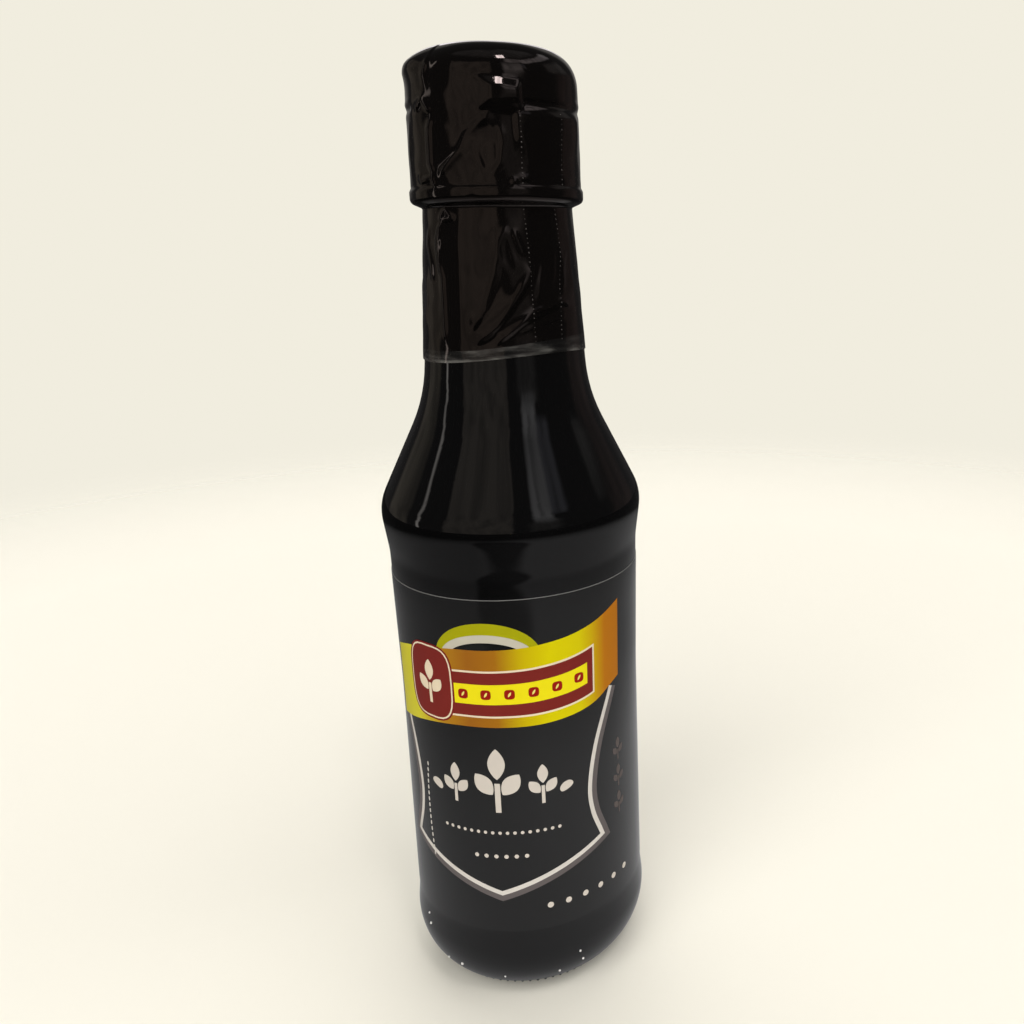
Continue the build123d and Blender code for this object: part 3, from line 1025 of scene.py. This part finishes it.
def on_glass(turn, z):
    a = math.radians(turn)
    r = glass_radius(z)
    return np.array([r * math.sin(a), -r * math.cos(a), z])


def film_line_points(route, count):
    return [on_film(turn, h) for turn, h in smooth_line(route, count)]


# Two lines of fine perforations run down the sleeve, and start again below the cap's rim
perforations = []
PERFORATED_LINES = ((16.3, (18.4, 20.0, 20.4, 20.8)), (47.0, (46.0, 48.0, 44.5, 42.5)))
for cap_turn, neck_turns in PERFORATED_LINES:
    perforations.append(film_line_points([(cap_turn, 2.6), (cap_turn, 8.0), (cap_turn - 0.4, 14.0)], 40))
    neck_route = list(zip(neck_turns, (-1.6, -8.0, -15.0, -25.0)))
    perforations.append(film_line_points(neck_route, 70))
make_dots("film_perforations", perforations, "film", Spacing=0.0008, Dot_Radius=0.00011, Unevenness=0.45,
          Seed=3, Finish=pierced)

# Pale dots on the heel's glass, each a painted glint, and the fine stipples that ring the foot
specks = [(-49, 6.8), (-39, 7.3), (-62, 14.4), (-60, 12.6), (21, 10.1), (23, 7.5), (11, 6.3), (-16, 6.3)]
make_dots("heel_painted_glints", [[on_glass(turn, z)] for turn, z in specks], "glass", Dot_Radius=0.00022,
          Unevenness=0.4, On_Points=True, Seed=5, Finish=glint_paint)
stipple_rings = []
for z in (0.55, 1.25, 2.1):
    stipple_rings.append([on_glass(turn, z) for turn in range(0, 361, 4)])
make_dots("foot_stipples", stipple_rings, "glass", Spacing=0.0015, Dot_Radius=0.00032, Unevenness=0.15,
          Seed=7, Finish=glass_black)


# ---------------------------------------------------------------- floor, lamps and world

PALE = (0.879, 0.847, 0.737)
FLOOR_REACH = 0.9


def make_floor():
    mesh = bpy.data.meshes.new("floor")
    count = 96
    turns = [2 * math.pi * k / count for k in range(count)]
    corners = [(FLOOR_REACH * math.cos(a), FLOOR_REACH * math.sin(a), 0) for a in turns]
    mesh.from_pydata(corners, [], [list(range(count))])
    floor = bpy.data.objects.new("floor", mesh)
    scene.collection.objects.link(floor)
    material = bpy.data.materials.new("pale_floor")
    material.use_nodes = True
    tree = material.node_tree
    shader = tree.nodes["Principled BSDF"]
    shader.inputs["Base Color"].default_value = (*PALE, 1)
    shader.inputs["Roughness"].default_value = 0.9
    shader.inputs["Specular IOR Level"].default_value = 0.0
    place = add(tree, "ShaderNodeTexCoord").outputs["Object"]
    away = add(tree, "ShaderNodeVectorMath", {0: place}, operation="LENGTH").outputs["Value"]
    rays = add(tree, "ShaderNodeLightPath")
    fade = add(tree, "ShaderNodeMapRange", {0: away, 1: 0.30, 2: 0.55, 3: 0.0, 4: 1.0},
               interpolation_type="SMOOTHSTEP")
    clear = add(tree, "ShaderNodeBsdfTransparent")
    seen = add(tree, "ShaderNodeMixShader", {0: fade.outputs[0], 1: shader.outputs[0], 2: clear.outputs[0]})
    # What the glass mirrors of the floor is a grey copy painted with shade: brighter close to the bottle,
    # darker farther out and towards -X, and a painted shadow in front, as of the camera's stand.
    near = add(tree, "ShaderNodeMapRange", {0: away, 1: 0.10, 2: 0.15, 3: 0.50, 4: 0.31}).outputs[0]
    far = add(tree, "ShaderNodeMapRange", {0: away, 1: 0.20, 2: 0.31, 3: 1.0, 4: 0.08}).outputs[0]
    moved = add(tree, "ShaderNodeVectorMath", {0: place, 1: (0.045, 0.19, 0.0)}, operation="ADD")
    from_painted_shadow = add(tree, "ShaderNodeVectorMath", {0: moved.outputs[0], 1: (1.0, 1.8, 1.0)},
                    operation="MULTIPLY")
    painted_shadow_away = add(tree, "ShaderNodeVectorMath", {0: from_painted_shadow.outputs[0]}, operation="LENGTH")
    painted_shadow_away = painted_shadow_away.outputs["Value"]
    painted_shadow = add(tree, "ShaderNodeMapRange", {0: painted_shadow_away, 1: 0.070, 2: 0.095, 3: 0.25, 4: 1.0},
               interpolation_type="SMOOTHSTEP")
    sideways = add(tree, "ShaderNodeSeparateXYZ", {0: place}).outputs[0]
    left = add(tree, "ShaderNodeMapRange", {0: sideways, 1: -0.10, 2: 0.02, 3: 0.58, 4: 1.0}).outputs[0]
    dim = maths(tree, "MULTIPLY", maths(tree, "MULTIPLY", near, far), left)
    mirrored = maths(tree, "MULTIPLY", dim, painted_shadow.outputs[0])
    grey = add(tree, "ShaderNodeBsdfDiffuse", {"Color": mirrored})
    mixed = add(tree, "ShaderNodeMixShader",
                {0: rays.outputs["Is Glossy Ray"], 1: seen.outputs[0], 2: grey.outputs[0]})
    tree.links.new(mixed.outputs[0], tree.nodes["Material Output"].inputs["Surface"])
    mesh.materials.append(material)


make_floor()


def make_lamp(name, azimuth, elevation, strength, angle):
    """A broad soft lamp that lights the print and the floor but isn't mirrored in the glass."""
    lamp = bpy.data.lights.new(name, "SUN")
    lamp.energy = strength
    lamp.angle = math.radians(angle)
    holder = bpy.data.objects.new(name, lamp)
    a, e = math.radians(azimuth), math.radians(elevation)
    towards = Vector((math.sin(a) * math.cos(e), -math.cos(a) * math.cos(e), math.sin(e)))
    holder.rotation_euler = towards.to_track_quat("Z", "Y").to_euler()
    holder.location = towards
    holder.visible_glossy = False
    scene.collection.objects.link(holder)


make_lamp("key", -30, 42, 1.7, 50)
make_lamp("fill", 50, 40, 1.0, 60)
make_lamp("back", 175, 60, 1.2, 60)


def make_world():
    """Pale to the camera; what the glass mirrors is a dim room with a few lighter panels."""
    world = bpy.data.worlds.new("studio")
    scene.world = world
    world.use_nodes = True
    tree = world.node_tree
    tree.nodes.clear()
    way = add(tree, "ShaderNodeSeparateXYZ", {0: add(tree, "ShaderNodeTexCoord").outputs["Generated"]})
    back = maths(tree, "MULTIPLY", way.outputs[1], -1.0)
    azimuth = maths(tree, "DEGREES", maths(tree, "ARCTAN2", way.outputs[0], back))
    elevation = maths(tree, "DEGREES", maths(tree, "ARCSINE", way.outputs[2]))

    def within(value, low, high, soft):
        up = add(tree, "ShaderNodeMapRange", {0: value, 1: low - soft, 2: low + soft, 3: 0.0, 4: 1.0},
                 interpolation_type="SMOOTHSTEP")
        down = add(tree, "ShaderNodeMapRange", {0: value, 1: high - soft, 2: high + soft, 3: 1.0, 4: 0.0},
                   interpolation_type="SMOOTHSTEP")
        return maths(tree, "MULTIPLY", up.outputs[0], down.outputs[0])

    # Uneven edges and streaks, as of shelves and curtains
    spot = add(tree, "ShaderNodeCombineXYZ", {0: maths(tree, "MULTIPLY", azimuth, 0.03),
                                              1: maths(tree, "MULTIPLY", elevation, 0.12)})
    wobble = add(tree, "ShaderNodeTexNoise",
                 {"Vector": spot.outputs[0], "Scale": 1.0, "Detail": 2.0}).outputs[0]
    azimuth = maths(tree, "MULTIPLY_ADD", maths(tree, "SUBTRACT", wobble, 0.5), 7.0, azimuth)
    strip = add(tree, "ShaderNodeCombineXYZ", {0: maths(tree, "MULTIPLY", azimuth, 0.11),
                                               1: maths(tree, "MULTIPLY", elevation, 0.05)})
    streak = add(tree, "ShaderNodeTexNoise",
                 {"Vector": strip.outputs[0], "Scale": 1.0, "Detail": 2.0}).outputs[0]
    streak = add(tree, "ShaderNodeMapRange", {0: streak, 1: 0.36, 2: 0.60, 3: 0.62, 4: 1.10}).outputs[0]

    # (azimuth from, to, softness, elevation from, to, softness, colour)
    panels = [
        (-62, -1, 1.5, -8, 42, 2, (0.238, 0.208, 0.178)),
        (-90.5, -87.5, 1.2, -30, 40, 2, (1.7, 1.6, 1.5)),
        (-132, -103, 3, -10, 36, 3, (0.155, 0.135, 0.105)),
        (17, 36, 2.5, 16, 40, 9, (0.66, 0.65, 0.66)),
        (14, 40, 5, -4, 16, 5, (0.11, 0.105, 0.10)),
        (36, 52, 3, 26, 40, 3, (0.22, 0.22, 0.25)),
        (86, 125, 4, 20, 36, 4, (0.13, 0.125, 0.12)),
        (97, 132, 5, -8, 18, 5, (0.06, 0.04, 0.035)),
        (24, 124, 3, 44, 54, 2, (0.85, 0.82, 0.84)),
        (-90, 110, 8, 60, 86, 5, (0.13, 0.13, 0.13)),
        (15, 28, 1.0, 57, 66, 1.0, (22.0, 21.0, 21.5)),
        (150, 210, 8, 5, 45, 8, (0.25, 0.24, 0.22)),
        (-210, -150, 8, 5, 45, 8, (0.25, 0.24, 0.22)),
        (168, 192, 3, 18, 34, 3, (1.6, 1.5, 1.55)),
        (-192, -168, 3, 18, 34, 3, (1.6, 1.5, 1.55)),
    ]
    total = None
    for low_a, high_a, soft_a, low_e, high_e, soft_e, colour in panels:
        across = within(azimuth, low_a, high_a, soft_a)
        mask = maths(tree, "MULTIPLY", across, within(elevation, low_e, high_e, soft_e))
        shade = add(tree, "ShaderNodeMix", data_type="RGBA")
        tree.links.new(mask, shade.inputs[0])
        shade.inputs[6].default_value = (0, 0, 0, 1)
        shade.inputs[7].default_value = (*colour, 1)
        if total is None:
            total = shade.outputs[2]
        else:
            both = add(tree, "ShaderNodeMix", data_type="RGBA", blend_type="ADD")
            both.inputs[0].default_value = 1.0
            tree.links.new(total, both.inputs[6])
            tree.links.new(shade.outputs[2], both.inputs[7])
            total = both.outputs[2]
    streaked = add(tree, "ShaderNodeMix", data_type="RGBA", blend_type="MULTIPLY")
    streaked.inputs[0].default_value = 1.0
    tree.links.new(total, streaked.inputs[6])
    tree.links.new(streak, streaked.inputs[7])
    room = add(tree, "ShaderNodeMix", data_type="RGBA", blend_type="ADD")
    room.inputs[0].default_value = 1.0
    tree.links.new(streaked.outputs[2], room.inputs[6])
    room.inputs[7].default_value = (0.045, 0.043, 0.043, 1)
    rays = add(tree, "ShaderNodeLightPath")
    shown = add(tree, "ShaderNodeMix", data_type="RGBA")
    tree.links.new(rays.outputs["Is Camera Ray"], shown.inputs[0])
    tree.links.new(room.outputs[2], shown.inputs[6])
    shown.inputs[7].default_value = (*PALE, 1)
    sky = add(tree, "ShaderNodeBackground", {"Color": shown.outputs[2], "Strength": 1.0})
    leave = add(tree, "ShaderNodeOutputWorld")
    tree.links.new(sky.outputs[0], leave.inputs["Surface"])


make_world()


# ---------------------------------------------------------------- camera

def make_camera():
    """The camera stands close in front, above the shoulder, and looks a little down."""
    yaw, pitch, roll = 0.175118, 0.227809, -0.0115359
    forward = Vector((math.sin(yaw) * math.cos(pitch), math.cos(yaw) * math.cos(pitch), -math.sin(pitch)))
    level = Vector((math.cos(yaw), -math.sin(yaw), 0))
    upright = level.cross(forward)
    right = level * math.cos(roll) + upright * math.sin(roll)
    up = upright * math.cos(roll) - level * math.sin(roll)
    data = bpy.data.cameras.new("camera")
    camera = bpy.data.objects.new("camera", data)
    turned = Matrix((right, up, -forward)).transposed()
    camera.matrix_world = Matrix.Translation((0, -0.1747346, 0.1454324)) @ turned.to_4x4()
    data.sensor_width = 36
    data.lens = 31.961
    data.shift_x = -0.15194
    data.shift_y = -0.05818
    data.clip_start = 0.005
    scene.collection.objects.link(camera)
    scene.camera = camera


make_camera()
scene.view_settings.view_transform = "Standard"
